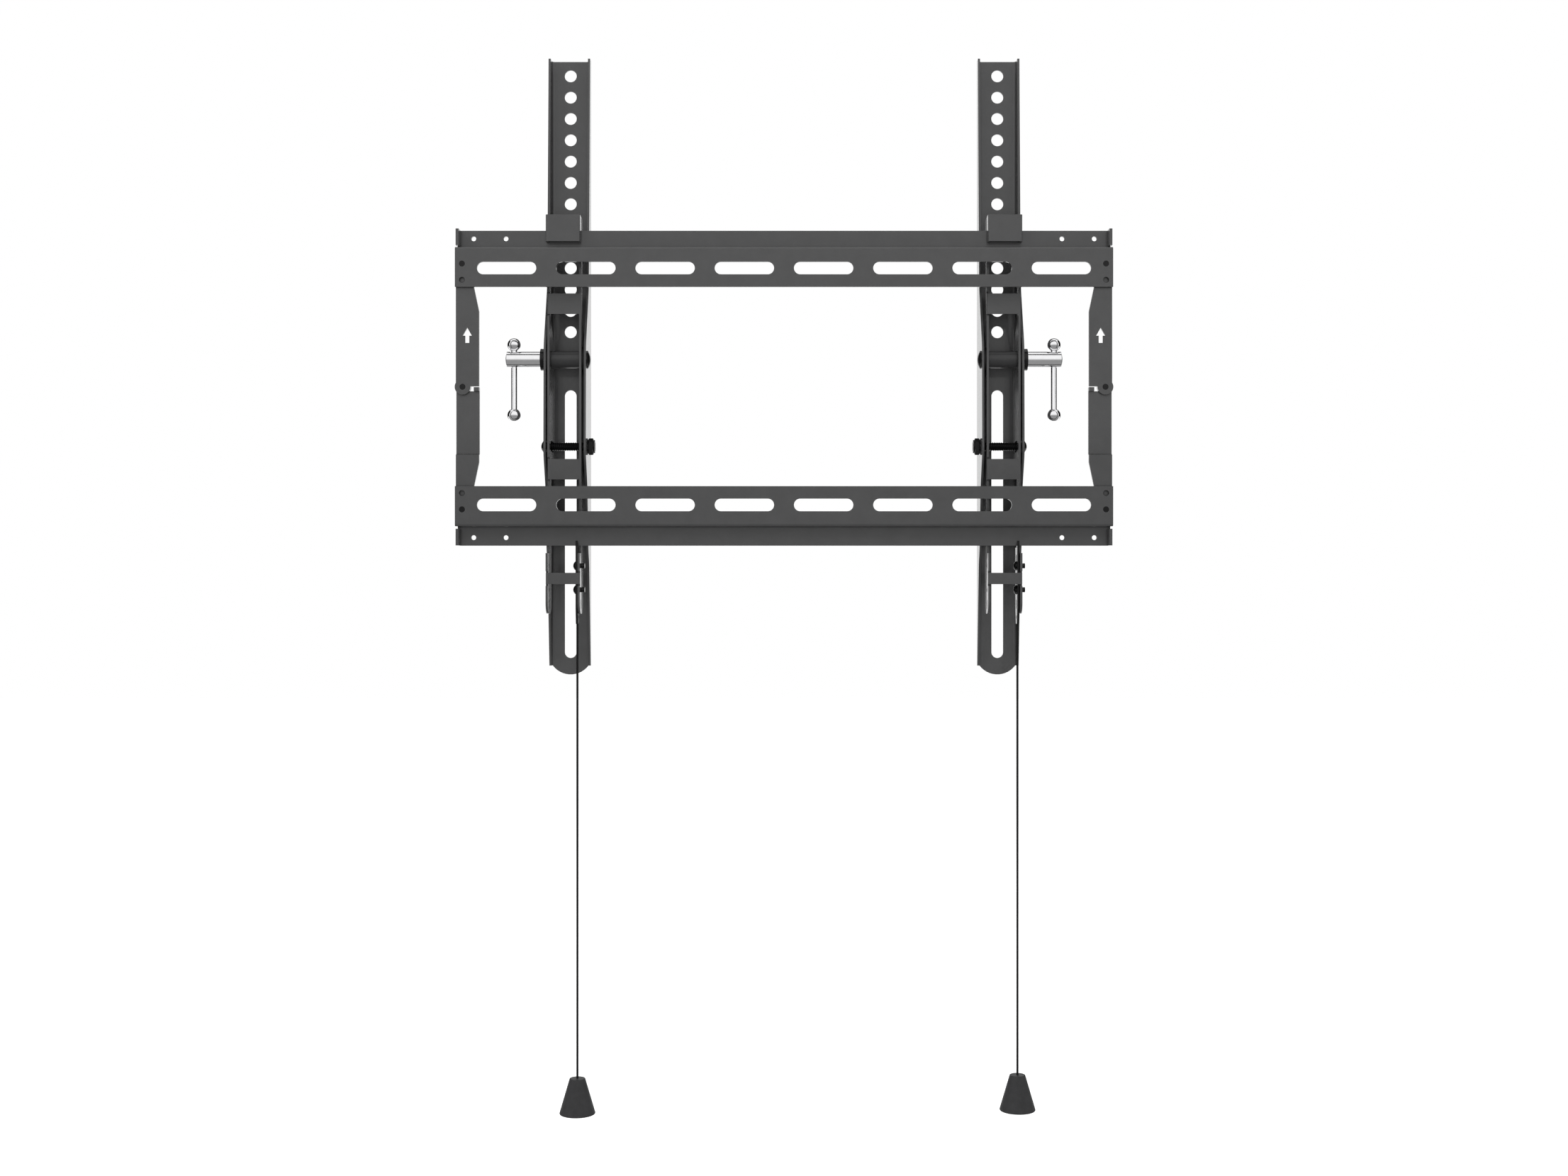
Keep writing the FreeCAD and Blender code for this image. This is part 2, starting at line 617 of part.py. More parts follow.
def make_bracket(side, s):
    """Folded hook bracket: two side plates joined by bridges, a hook over the top rail's flange."""
    body = new_body(f"{side}_hook_bracket", x=f"{s} * arm_x")
    left_plate = (f"-{PLATE_OUTER}", f"-{PLATE_INNER}")
    right_plate = (PLATE_INNER, PLATE_OUTER)
    both_plates = (f"-{PLATE_OUTER}", PLATE_OUTER)
    rounded = {
        "leg_corner": [("leg_face", LEG_BASE), (HOOK_NEAR, LEG_BASE)],
        "ear_corner": [("ear_face", "ear_top"), ("ear_face", "ear_base"), ("hook_back", HOOK_TOP)],
    }
    plate = [
        (HOOK_NEAR, HOOK_BASE),
        (THROAT, HOOK_BASE),
        (THROAT, f"{RAIL_TOP} + hook_clearance"),
        (BRACKET_NEAR, f"{RAIL_TOP} + hook_clearance"),
        (BRACKET_NEAR, LEG_STEP),
        (HOOK_NEAR, LEG_STEP),
        (HOOK_NEAR, LEG_BASE),
        ("leg_face", LEG_BASE),
        ("leg_face", "ear_slope_base"),
        ("ear_face", "ear_base"),
        ("ear_face", "ear_top"),
        ("hook_back", "ear_slope_top"),
        ("hook_back", HOOK_TOP),
        (HOOK_NEAR, HOOK_TOP),
    ]
    bridges = [
        (BRACKET_NEAR, "bridge_upper_top - bridge_height", "bridge_upper_top", left_plate),
        (BRACKET_NEAR, "bridge_lower_top - bridge_height", "bridge_lower_top", left_plate),
        (HOOK_NEAR, FOOT_BASE, FOOT_TOP, both_plates),
        (HOOK_NEAR, HOOK_BASE, HOOK_TOP, both_plates),
    ]
    inside = (f"-{PLATE_INNER}", PLATE_INNER)
    near, base, top, _ = bridges[0]
    pad(body, "front", near, f"{near} + bracket_sheet", rectangle, *inside, base, top)
    pad(body, "side", *left_plate, outline, plate)
    pad(body, "side", *right_plate, outline, plate)
    for near, base, top, _ in bridges[1:]:
        pad(body, "front", near, f"{near} + bracket_sheet", rectangle, *inside, base, top)
    for radius, corners in rounded.items():
        round_edges(body, radius, edge_at(AXIS_X, [(None, number(y), number(z)) for y, z in corners]))
    for near, base, top, plates in bridges[:3]:
        for low, high in ((top, f"{top} + bend_relief"), (f"{base} - bend_relief", base)):
            cut(body, "side", *plates, rectangle, near, f"{near} + bend_relief_depth", low, high)
    folds = [(number(x), number(near), number(f"({base} + {top}) / 2"))
             for near, base, top, plates in bridges for x in (plates[0], f"-{plates[0]}")
             if x == plates[0] or plates == both_plates]
    round_edges(body, "bracket_bend", edge_at(AXIS_Z, folds))
    cut(body, "side", *both_plates, circle, ("tilt_y", "tilt_z"), "pivot_bolt_diameter + 2 * pivot_bolt_fit")
    cut(body, "side", *both_plates, slot,
        ("stop_slot_near", "stop_slot_z"), ("stop_y", "stop_slot_z"), "stop_slot_width")
    for plates in (left_plate, right_plate):
        cut(body, "side", *plates, circles, [(PIN_Y, PIN_UPPER), (PIN_Y, PIN_LOWER)], "pin_diameter")
    cut(body, "side", *both_plates, slot, *leg_slot_ends(), "leg_slot_width")
    return body


def leg_slot_ends():
    """Centres of the small upright slot near the foot of the bracket's legs and of the latch."""
    low = f"{LEG_BASE} + leg_slot_rise"
    return (PIN_Y, low), (PIN_Y, f"{low} + leg_slot_run")


def make_ring(node, place, start, end, bore, outer):
    """Plain washer or sleeve about the x axis."""
    inner = f"({bore}) / 2"
    rim = f"({outer}) / 2"
    return turned(node, "x", [(start, inner), (end, inner), (end, rim), (start, rim)], **place)


def make_pivot(side, s):
    """Tilt pivot: domed bolt, sleeve, friction washers, outer washer, clamp nut and sliding tommy bar."""
    place = {"x": f"{s} * arm_x", "y": "tilt_y", "z": "tilt_z"}
    bore = "pivot_bolt_diameter + 2 * pivot_bolt_fit"
    make_ring(f"{side}_pivot_sleeve", place, f"-{PLATE_INNER}", PLATE_INNER, bore, "sleeve_diameter")
    for name, way in (("outer", s), ("inner", f"-{s}")):
        make_ring(f"{side}_{name}_friction_washer", place, f"{way} * ({PLATE_OUTER} + friction_slack)",
                  f"{way} * ({ARM_HALF} - arm_sheet - friction_slack)", bore, "friction_diameter")
    make_ring(f"{side}_outer_washer", place, f"{s} * {ARM_HALF}", f"{s} * {CLAMP_START}",
              bore, "washer_diameter")
    tip = f"{s} * ({CLAMP_START} + clamp_bore - clamp_bore_spare)"
    seat = f"-{s} * {ARM_HALF}"
    dome = sphere_radius("pivot_head_diameter / 2", "pivot_head_height - pivot_head_rim")
    bolt = [
        (tip, "0"),
        (f"-{s} * ({ARM_HALF} + pivot_head_height)", "0"),
        (f"-{s} * ({ARM_HALF} + pivot_head_rim)", "pivot_head_diameter / 2", dome, s == "-1"),
        (seat, "pivot_head_diameter / 2"),
        (seat, "pivot_bolt_diameter / 2"),
        (tip, "pivot_bolt_diameter / 2"),
    ]
    turned(f"{side}_pivot_bolt", "x", bolt, **place)
    make_clamp(side, s, place)
    make_tommy_bar(side, f"{s} * (arm_x + {CLAMP_START} + clamp_length - tommy_from_end)")


def make_clamp(side, s, place):
    """Barrel nut on the pivot bolt, with a crowned end and a cross hole for the tommy bar."""
    bore_end = f"{s} * ({CLAMP_START} + clamp_bore)"
    crown = sphere_radius("clamp_diameter / 2", "clamp_crown")
    barrel = [
        (bore_end, "0"),
        (f"{s} * ({CLAMP_START} + clamp_length)", "0"),
        (f"{s} * ({CLAMP_START} + clamp_length - clamp_crown)", "clamp_diameter / 2", crown, s == "1"),
        (f"{s} * {CLAMP_START}", "clamp_diameter / 2"),
        (f"{s} * {CLAMP_START}", "pivot_bolt_diameter / 2 + pivot_bolt_fit"),
        (bore_end, "pivot_bolt_diameter / 2 + pivot_bolt_fit"),
    ]
    body = turned(f"{side}_clamp_nut", "x", barrel, **place)
    cross_hole = (f"{s} * ({CLAMP_START} + clamp_length - tommy_from_end)", "0")
    cut(body, "plan", "-clamp_diameter / 2", "clamp_diameter / 2", circle, cross_hole,
        "tommy_diameter + 2 * tommy_fit")


def make_tommy_bar(side, x):
    """Rod with a ball at each end, hanging through the clamp nut by its upper ball."""
    reach = "sqrt((tommy_ball / 2)^2 - (tommy_diameter / 2)^2)"
    low = "tommy_rise - tommy_span"
    profile = [
        ("tommy_rise + tommy_ball / 2", "0"),
        (f"tommy_rise - {reach}", "tommy_diameter / 2", "tommy_ball / 2", True),
        (f"{low} + {reach}", "tommy_diameter / 2"),
        (f"{low} - tommy_ball / 2", "0", "tommy_ball / 2", True),
    ]
    return turned(f"{side}_tommy_bar", "z", profile, x=x, y="tilt_y", z="tilt_z")


def make_stop(side, s):
    """Tilt stop: domed bolt through both flanges of the arm and the bracket's slots, with a lock nut."""
    place = {"x": f"{s} * arm_x", "y": "stop_y", "z": "stop_z"}
    nut_end = f"{ARM_HALF} + stop_nut_height"
    collar_end = f"{nut_end} + stop_collar_height"
    tip = f"-{s} * ({collar_end} + stop_bolt_over)"
    head = f"{s} * {ARM_HALF}"
    dome = sphere_radius("stop_head_diameter / 2", "stop_head_height")
    bolt = [
        (tip, "0"),
        (f"{s} * ({ARM_HALF} + stop_head_height)", "0"),
        (head, "stop_head_diameter / 2", dome, s == "1"),
        (head, "stop_diameter / 2"),
        (tip, "stop_diameter / 2"),
    ]
    turned(f"{side}_stop_bolt", "x", bolt, **place)
    body = new_body(f"{side}_stop_nut", **place)
    corner = "stop_nut_flats / sqrt(3)"
    flats = "stop_nut_flats / 2"
    hexagon = [(flats, f"-{corner} / 2"), (flats, f"{corner} / 2"), ("0", corner),
               (f"-{flats}", f"{corner} / 2"), (f"-{flats}", f"-{corner} / 2"), ("0", f"-{corner}")]
    spans = [(ARM_HALF, nut_end), (nut_end, collar_end), (ARM_HALF, collar_end)]
    if s == "1":
        spans = [(f"-({far})", f"-({near})") for near, far in spans]
    pad(body, "side", *spans[0], outline, hexagon)
    pad(body, "side", *spans[1], circle, ("0", "0"), "stop_collar_diameter")
    cut(body, "side", *spans[2], circle, ("0", "0"), "stop_diameter + 2 * stop_fit")


def make_latch(side, s):
    """Sliding latch with a nose behind the bottom rail's flange, guided by two pins in the bracket."""
    body = new_body(f"{side}_latch_plate", x=f"{s} * arm_x")
    tail = f"{LATCH_EDGE} + latch_tail_inset"
    nose_top = f"-({RAIL_TOP} - latch_lap)"
    shoulder = f"-({RAIL_TOP} + latch_clearance)"
    blade = [
        (LATCH_EDGE, nose_top),
        (LATCH_EDGE, LATCH_TAPER),
        (tail, LATCH_BASE),
        (f"{tail} + latch_tail_width", LATCH_BASE),
        (f"{LATCH_EDGE} + latch_depth", LATCH_TAPER),
        (f"{LATCH_EDGE} + latch_depth", shoulder),
        (THROAT, shoulder),
        (THROAT, f"{nose_top} - latch_nose_slope"),
    ]
    layer = (LATCH_NEAR, LATCH_FAR)
    pad(body, "side", *layer, outline, blade)
    for height in (PIN_UPPER, PIN_LOWER):
        cut(body, "side", *layer, slot, (PIN_Y, height), (PIN_Y, f"{height} + latch_travel"),
            "pin_diameter + 2 * pin_fit")
    cut(body, "side", *layer, slot, *leg_slot_ends(), "leg_slot_width")
    cut(body, "side", *layer, circle, (CORD_Y, f"{LATCH_BASE} + cord_hole_height"), "cord_hole")
    make_pin(f"{side}_latch_pin_upper", s, PIN_UPPER)
    make_pin(f"{side}_latch_pin_lower", s, PIN_LOWER)


def make_pin(node, s, z):
    """Guide pin of the latch: domed head inside, shank standing out of the bracket's side plate."""
    head = f"{LATCH_NEAR} - latch_gap"
    end = f"{PLATE_OUTER} + pin_over"
    profile = [
        (end, "0"),
        (end, "pin_diameter / 2"),
        (head, "pin_diameter / 2"),
        (head, "pin_head / 2"),
        (f"{head} - pin_head_height", "0", sphere_radius("pin_head / 2", "pin_head_height"), True),
    ]
    return turned(node, "x", profile, x=f"{s} * arm_x", y=PIN_Y, z=z)


def make_cord(side, s):
    """Pull cord hanging straight from the latch, and its cone-shaped pull."""
    place = {"x": f"{s} * arm_x + {CORD_X}", "y": CORD_Y}
    top = f"{LATCH_BASE} - {side}_cord_drop"
    end = f"{top} - cord_in_pull"
    cord = [(LATCH_BASE, "0"), (end, "0"), (end, "cord_diameter / 2"), (LATCH_BASE, "cord_diameter / 2")]
    turned(f"{side}_cord", "z", cord, **place)
    bore = "cord_diameter / 2 + cord_fit"
    cone = [
        (top, bore),
        (end, bore),
        (end, "0"),
        (f"{top} - pull_height", "0"),
        (f"{top} - pull_height", "pull_base_diameter / 2 - pull_round"),
        (f"{top} - pull_height + pull_round", "pull_base_diameter / 2", "pull_round * 1.02", False),
        (f"{top} - pull_round / 2", "pull_top_diameter / 2"),
        (top, "pull_top_diameter / 2 - pull_round / 2", "pull_round", False),
    ]
    turned(f"{side}_pull", "z", cone, **place)


make_rail("top_rail", "1")
make_rail("bottom_rail", "-1")
for side, s in SIDES.items():
    make_upper_strut(side, s)
    make_lower_strut(side, s)
    make_rivet(f"{side}_top_rivet", f"{s} * {PIVOT_X}", PIVOT_Z, "0", STRUT_FAR)
    make_rivet(f"{side}_mid_rivet", f"{s} * {PIVOT_X}", "0", STRUT_NEAR, CROSS_FAR)
    make_rivet(f"{side}_bottom_rivet", f"{s} * {PIVOT_X}", f"-{PIVOT_Z}", "0", STRUT_FAR)
    make_arm(side, s)
    make_bracket(side, s)
    make_pivot(side, s)
    make_stop(side, s)
    make_latch(side, s)
    make_cord(side, s)
doc.recompute()

failed = [item.Label for item in doc.Objects if {"Invalid", "Error"} & set(item.State)]
if failed:
    raise ValueError(f"failed objects: {failed}")
bodies = [item for item in doc.Objects if item.TypeId == "PartDesign::Body"]
for body in bodies:
    if body.Shape.isNull() or not body.Shape.isValid() or len(body.Shape.Solids) != 1:
        raise ValueError(f"{body.Label} is not one valid solid")
os.makedirs("parts", exist_ok=True)
for body in bodies:
    body.Shape.exportStep(f"parts/{body.Label}.step")
print(f"{len(bodies)} parts written")
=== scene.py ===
"""Looks of the folding, tilting television wall mount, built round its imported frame, in metres."""
import json
import math

import bmesh
import bpy
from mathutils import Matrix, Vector


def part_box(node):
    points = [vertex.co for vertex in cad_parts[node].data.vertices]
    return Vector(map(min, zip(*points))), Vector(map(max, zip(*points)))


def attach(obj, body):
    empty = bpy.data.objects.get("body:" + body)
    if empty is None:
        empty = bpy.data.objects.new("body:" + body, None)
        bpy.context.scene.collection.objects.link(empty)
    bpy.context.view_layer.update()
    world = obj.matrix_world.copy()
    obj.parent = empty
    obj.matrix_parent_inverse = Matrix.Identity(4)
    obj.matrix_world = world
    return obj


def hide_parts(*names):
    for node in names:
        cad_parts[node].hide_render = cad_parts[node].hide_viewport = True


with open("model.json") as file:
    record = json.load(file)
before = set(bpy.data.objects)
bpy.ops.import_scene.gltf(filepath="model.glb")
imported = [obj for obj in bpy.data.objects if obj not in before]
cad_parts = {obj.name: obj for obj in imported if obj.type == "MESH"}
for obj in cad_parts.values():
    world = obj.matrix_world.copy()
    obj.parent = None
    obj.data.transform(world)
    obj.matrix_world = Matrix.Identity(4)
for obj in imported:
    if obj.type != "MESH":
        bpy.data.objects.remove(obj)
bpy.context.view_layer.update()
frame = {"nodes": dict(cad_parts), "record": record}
nodes = frame["nodes"]
SIDES = {"left": -1, "right": 1}

# Photograph: its width in pixels, the focal length in pixels and where the camera stood.
PHOTO_WIDTH = 2212
FOCAL_PIXELS = 2670
SENSOR_WIDTH = 36.0
CAMERA_PLACE = (0.0, -1.278, -0.1361)

# Floor and room: the floor's grey where it is lit, and the white that it adds where it is seen.
WHITE = (1.0, 1.0, 1.0, 1.0)
FLOOR_LEVEL = -0.62
FLOOR_SIZE = 14.0
FLOOR_GREY = 0.35
FLOOR_ROUGHNESS = 0.9
FLOOR_WHITE = 0.85
ROOM_LIGHT = 0.48

# Cards that only reflections see
CARD_LIFT = 0.01
CARD_WIDTH = 10.0
FRONT_CARD_PLACE = -3.0
FRONT_CARD_TOP = 0.2
FRONT_CARD_GREY = 0.5
LOW_CARD_GREY = 0.3
LOW_CARD_END = 0.5
BACK_CARD_PLACE = 2.0
BACK_CARD_INNER = 0.95
BACK_CARD_OUTER = 3.6
BACK_CARD_GREY = 0.01
SIDE_CARD_END = -0.4

# Lamps: name, place, the point that each is aimed at, the side of its square and its power in watts.
MIDDLE = (0.0, 0.0, -0.1)
LAMPS = (
    ("front_lamp", (0.0, -2.0, 1.5), MIDDLE, 0.9, 12.0),
    ("side_lamp", (-1.9, -1.4, 0.9), (0.0, 0.0, 0.0), 0.9, 6.0),
    ("fill_lamp", (0.0, -2.2, -0.25), MIDDLE, 0.7, 23.0),
    ("back_lamp", (0.0, 2.1, 1.1), MIDDLE, 1.0, 30.0),
    ("right_lamp", (2.2, 0.5, 0.7), MIDDLE, 0.9, 24.0),
    ("left_lamp", (-2.2, 0.5, 0.7), MIDDLE, 0.9, 24.0),
)

# Tilt stop: thread of the bolt, its domed head, and the lock nut.
STOP_HEAD_HEIGHT = 0.0036
STOP_HEAD_STEPS = 12
STOP_THREAD_RADIUS = 0.003
STOP_THREAD_PITCH = 0.0015
STOP_THREAD_DEPTH = 0.00045
STOP_STEPS_PER_TURN = 6
STOP_PLAIN_LENGTH = 0.0015
STOP_TIP_CHAMFER = 0.0005
STOP_SEGMENTS = 32
THREAD_FLANK_SLOPE = 1.5
THREAD_CREST_SHARE = 0.25
NUT_FLATS = 0.010
NUT_HEIGHT = 0.0038
NUT_CHAMFER = 0.0006
NUT_CHAMFER_STEPS = 6
NUT_CHAMFER_LEAN = math.radians(60)
NUT_FACE_SHARE = 0.475
NUT_COLLAR_RADIUS = 0.0046
NUT_COLLAR_ROUND = 0.0003
NUT_COLLAR_STEPS = 4
NUT_BORE_RADIUS = 0.00305
NUT_SEGMENTS = 72
SHARP_EDGE = math.radians(32)

# Painted shade in the creases of the coated sheet: how far the creases reach, how open they are and how
# dark the painted shade gets.
PAINTED_SHADE_REACH = 0.002
PAINTED_SHADE_CLOSED = 0.35
PAINTED_SHADE_OPEN = 0.8
PAINTED_SHADE_DARK = 0.15
EDGE_SAMPLES = 6

# Pull cords
CORD_DIAMETER = 0.0015
CORD_HOLD = 6 * CORD_DIAMETER
CORD_STRANDS = 4
CORD_BRAID_PITCH = 0.003
CORD_SECTION_DETAIL = 4


def new_material(name):
    """Node material, its tree and its Principled shader."""
    material = bpy.data.materials.new(name)
    material.use_nodes = True
    tree = material.node_tree
    return material, tree, tree.nodes["Principled BSDF"]


def add_node(tree, kind, **values):
    """Node of a kind, with its inputs and properties set by name."""
    node = tree.nodes.new(kind)
    for name, value in values.items():
        if name in node.inputs:
            node.inputs[name].default_value = value
        else:
            setattr(node, name, value)
    return node


def set_values(node, values):
    """Plain values on a node's own sockets."""
    for name, value in values.items():
        node.inputs[name].default_value = value


def maths(tree, operation, *values):
    """Result of a sum on sockets and plain numbers."""
    node = add_node(tree, "ShaderNodeMath", operation=operation)
    for socket, value in zip(node.inputs, values):
        if isinstance(value, (int, float)):
            socket.default_value = value
        else:
            tree.links.new(value, socket)
    return node.outputs["Value"]


def grain(tree, scale, detail=4.0, roughness=0.6, stretch=(1.0, 1.0, 1.0)):
    """Noise in the object's own metres."""
    place = add_node(tree, "ShaderNodeTexCoord")
    mapping = add_node(tree, "ShaderNodeMapping", Scale=stretch)
    noise = add_node(tree, "ShaderNodeTexNoise", Scale=scale, Detail=detail, Roughness=roughness)
    tree.links.new(place.outputs["Object"], mapping.inputs["Vector"])
    tree.links.new(mapping.outputs["Vector"], noise.inputs["Vector"])
    return noise.outputs["Fac"]


def shaded(tree, factor, dark, light, start=0.3, end=0.7):
    """Colour ramp between two colours."""
    ramp = add_node(tree, "ShaderNodeValToRGB")
    ramp.color_ramp.elements[0].color = (*dark, 1.0)
    ramp.color_ramp.elements[1].color = (*light, 1.0)
    ramp.color_ramp.elements[0].position = start
    ramp.color_ramp.elements[1].position = end
    tree.links.new(factor, ramp.inputs["Fac"])
    return ramp.outputs["Color"]


def spread(tree, factor, low, high, start=0.0, end=1.0):
    """Value between a start and an end, brought between two other limits."""
    limits = add_node(tree, "ShaderNodeMapRange")
    set_values(limits, {"From Min": start, "From Max": end, "To Min": low, "To Max": high})
    tree.links.new(factor, limits.inputs["Value"])
    return limits.outputs["Result"]


def relief(tree, height, distance, strength, soft_edge):
    """Surface normal with fine relief on top of edges softened by a small radius."""
    edge = add_node(tree, "ShaderNodeBevel", samples=EDGE_SAMPLES, Radius=soft_edge)
    bump = add_node(tree, "ShaderNodeBump", Strength=strength, Distance=distance)
    tree.links.new(height, bump.inputs["Height"])
    tree.links.new(edge.outputs["Normal"], bump.inputs["Normal"])
    return bump.outputs["Normal"]


def scaled(tree, colour, level):
    """Colour made darker by a level from zero to one."""
    scale = add_node(tree, "ShaderNodeVectorMath", operation="SCALE")
    tree.links.new(colour, scale.inputs[0])
    tree.links.new(level, scale.inputs["Scale"])
    return scale.outputs["Vector"]


def painted_crease_shade(tree):
    """Painted shade: one on open faces, falling in the creases where sheets meet."""
    shade = add_node(tree, "ShaderNodeAmbientOcclusion", samples=EDGE_SAMPLES, Distance=PAINTED_SHADE_REACH)
    return spread(tree, shade.outputs["AO"], PAINTED_SHADE_DARK, 1.0, start=PAINTED_SHADE_CLOSED, end=PAINTED_SHADE_OPEN)


def tinted(colour, share):
    """Colour made darker or lighter by a share."""
    return [level * share for level in colour]


def coated_metal(name, colour, roughness, shine, skin, soft_edge):
    """Coat on metal: an even colour with fine orange peel, a little mottling, a thin clear skin and
    painted shade in its creases.
    """
    material, tree, shader = new_material(name)
    mottle = grain(tree, scale=90.0)
    coat = shaded(tree, mottle, dark=tinted(colour, 0.93), light=tinted(colour, 1.07))
    dullness = spread(tree, mottle, low=roughness - 0.05, high=roughness + 0.05)
    peel = grain(tree, scale=1400.0, detail=2.0)
    skin_normal = relief(tree, peel, distance=0.0002, strength=0.03, soft_edge=soft_edge)
    # Base colour darkened by painted shade in the creases.
    tree.links.new(scaled(tree, coat, painted_crease_shade(tree)), shader.inputs["Base Color"])
    tree.links.new(dullness, shader.inputs["Roughness"])
    tree.links.new(skin_normal, shader.inputs["Normal"])
    set_values(shader, {"Specular IOR Level": shine, "Coat Weight": 1.0, "Coat Roughness": 0.08,
                        "Coat IOR": skin})
    return material


def chrome_metal(name):
    """Bright plated steel with faint turning marks."""
    material, tree, shader = new_material(name)
    haze = grain(tree, scale=300.0)
    plating = shaded(tree, haze, dark=(0.86, 0.86, 0.87), light=(0.92, 0.92, 0.93))
    marks = grain(tree, scale=2200.0, detail=2.0, stretch=(1.0, 0.05, 0.05))
    turned = relief(tree, marks, distance=0.00005, strength=0.006, soft_edge=0.0003)
    tree.links.new(plating, shader.inputs["Base Color"])
    tree.links.new(spread(tree, haze, low=0.03, high=0.06), shader.inputs["Roughness"])
    tree.links.new(turned, shader.inputs["Normal"])
    set_values(shader, {"Metallic": 1.0})
    return material


def moulded_plastic(name, colour, roughness):
    """Moulded plastic with a fine eroded texture."""
    material, tree, shader = new_material(name)
    mottle = grain(tree, scale=220.0)
    skin = shaded(tree, mottle, dark=tinted(colour, 0.9), light=tinted(colour, 1.1))
    dullness = spread(tree, mottle, low=roughness - 0.06, high=roughness + 0.06)
    texture = grain(tree, scale=3000.0, detail=3.0)
    eroded = relief(tree, texture, distance=0.0002, strength=0.08, soft_edge=0.0004)
    tree.links.new(skin, shader.inputs["Base Color"])
    tree.links.new(dullness, shader.inputs["Roughness"])
    tree.links.new(eroded, shader.inputs["Normal"])
    set_values(shader, {"Specular IOR Level": 0.12})
    return material


def braided_cord(name, colour):
    """Braided cord: strands crossing round the cord's own upright axis, with painted shade in the grooves
    between them.
    """
    material, tree, shader = new_material(name)
    place = add_node(tree, "ShaderNodeTexCoord")
    split = add_node(tree, "ShaderNodeSeparateXYZ")
    tree.links.new(place.outputs["Object"], split.inputs["Vector"])
    around = maths(tree, "ARCTAN2", split.outputs["Y"], split.outputs["X"])
    turn = maths(tree, "MULTIPLY", around, CORD_STRANDS)
    climb = maths(tree, "MULTIPLY", split.outputs["Z"], 2 * math.pi / CORD_BRAID_PITCH)
    right_hand = maths(tree, "SINE", maths(tree, "ADD", turn, climb))
    left_hand = maths(tree, "SINE", maths(tree, "SUBTRACT", turn, climb))
    strands = maths(tree, "MULTIPLY_ADD", maths(tree, "MAXIMUM", right_hand, left_hand), 0.5, 0.5)
    fibres = grain(tree, scale=4000.0, stretch=(1.0, 1.0, 0.3))
    weave = maths(tree, "MULTIPLY", strands, spread(tree, fibres, low=0.6, high=1.0))
    # Colour darker in the grooves between strands and lighter on their crests: painted shade, with random
    # tone from the fibres.
    yarn_and_painted_shade = shaded(tree, weave, dark=tinted(colour, 0.4), light=tinted(colour, 1.4))
    braid = relief(tree, weave, distance=0.00025, strength=0.6, soft_edge=0.0001)
    tree.links.new(yarn_and_painted_shade, shader.inputs["Base Color"])
    tree.links.new(braid, shader.inputs["Normal"])
    set_values(shader, {"Roughness": 0.75, "Specular IOR Level": 0.15})
    return material


MATERIALS = {
    "coated_sheet": coated_metal("coated_sheet", (0.052, 0.052, 0.0525), roughness=0.36, shine=0.3,
                                 skin=1.3, soft_edge=0.00035),
    "black_hardware": coated_metal("black_hardware", (0.0045, 0.0045, 0.0046), roughness=0.3, shine=0.1,
                                   skin=1.25, soft_edge=0.00025),
    "satin_sleeve": coated_metal("satin_sleeve", (0.03, 0.03, 0.0305), roughness=0.45, shine=0.3,
                                 skin=1.2, soft_edge=0.0002),
    "chrome": chrome_metal("chrome"),
    "friction_washer": moulded_plastic("friction_washer", (0.015, 0.015, 0.015), roughness=0.6),
    "pull": moulded_plastic("pull", (0.034, 0.034, 0.035), roughness=0.5),
    "cord": braided_cord("cord", (0.007, 0.007, 0.007)),
}


def dress_nodes():
    """Give every node the material of its slot, and the pivot sleeves a paler one."""
    for row in frame["record"]["subparts"]:
        node = nodes[row["node"]]
        look = "satin_sleeve" if row["node"].endswith("pivot_sleeve") else row["material_slot"]
        node.data.materials.clear()
        node.data.materials.append(MATERIALS[look])


def show(name, data, slot, place, turn=0.0):
    """Object in the scene with the material of a slot, turned about its upright axis."""
    data.materials.append(MATERIALS[slot])
    item = bpy.data.objects.new(name, data)
    item.location = place
    item.rotation_euler = (0.0, 0.0, turn)
    bpy.context.scene.collection.objects.link(item)
    return item


def round_section(radius):
    """Section of one radius at every angle."""
    return lambda angle: radius


def turned_mesh(name, stations, segments, ring=False):
    """Closed skin about the x axis from stations of a place and a section, or a ring with a bore."""
    build = bmesh.new()
    rows = []
    for along, section in stations:
        angles = [2 * math.pi * step / segments for step in range(segments)]
        points = [(along, section(a) * math.cos(a), section(a) * math.sin(a)) for a in angles]
        rows.append([build.verts.new(point) for point in points])
    pairs = list(zip(rows, rows[1:]))
    if ring:
        pairs.append((rows[-1], rows[0]))
    else:
        build.faces.new(rows[0])
        build.faces.new(rows[-1])
    for row, following in pairs:
        for step in range(segments):
            build.faces.new((row[step - 1], row[step], following[step], following[step - 1]))
    bmesh.ops.recalc_face_normals(build, faces=build.faces)
    mesh = bpy.data.meshes.new(name)
    build.to_mesh(mesh)
    build.free()
    mesh.shade_smooth()
    mesh.set_sharp_from_angle(angle=SHARP_EDGE)
    return mesh


def thread_section(along):
    """Section through a screw thread at a place along the bolt."""
    def radius_at(angle):
        turn = (along / STOP_THREAD_PITCH - angle / (2 * math.pi)) % 1.0
        flank = min(1.0, max(0.0, THREAD_FLANK_SLOPE * abs(2 * turn - 1) - THREAD_CREST_SHARE))
        return STOP_THREAD_RADIUS - STOP_THREAD_DEPTH * flank
    return radius_at


